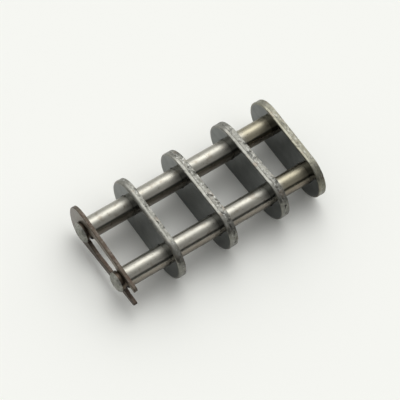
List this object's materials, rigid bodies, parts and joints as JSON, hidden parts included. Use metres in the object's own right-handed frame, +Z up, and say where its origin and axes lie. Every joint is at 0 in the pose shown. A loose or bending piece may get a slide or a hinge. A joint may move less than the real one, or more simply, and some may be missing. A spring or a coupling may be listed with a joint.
{
  "type": "chain connecting link",
  "caption": "Connecting link for a multi-strand roller chain: pins riveted into an outer plate, loose link plates on them and a spring clip in the pins' end grooves.",
  "frame": {"origin": "on the surface the link rests on, under the middle of its bounding box", "axes": "+X along the pitch from the leading pin to the trailing pin, +Y along the pins from their free ends to the riveted plate, +Z up"},
  "size_m": [0.0236, 0.0476, 0.0109],
  "materials": {
    "outer_plate": "oil-darkened blanked steel with brighter rubbed edges",
    "loose_plates": "oil-darkened blanked steel with brighter rubbed edges",
    "pins": "ground and polished",
    "spring_clip": "brown-tempered spring steel"
  },
  "bodies": {
    "link": {"outer_plate": "outer_plate", "leading_pin": "pins", "trailing_pin": "pins", "spring_clip": "spring_clip"},
    "cover_plate": {"cover_plate": "loose_plates"},
    "near_plate": {"near_intermediate_plate": "loose_plates"},
    "far_plate": {"far_intermediate_plate": "loose_plates"}
  },
  "joints": [
    {"name": "cover_plate_slide", "type": "slide", "parent": "link", "child": "cover_plate", "axis": [0, 1, 0], "range_m": [-0.0091, 0.0048]},
    {"name": "near_plate_slide", "type": "slide", "parent": "link", "child": "near_plate", "axis": [0, 1, 0], "range_m": [-0.0048, 0.0047]},
    {"name": "far_plate_slide", "type": "slide", "parent": "link", "child": "far_plate", "axis": [0, 1, 0], "range_m": [-0.0047, 0.0069]}
  ]
}
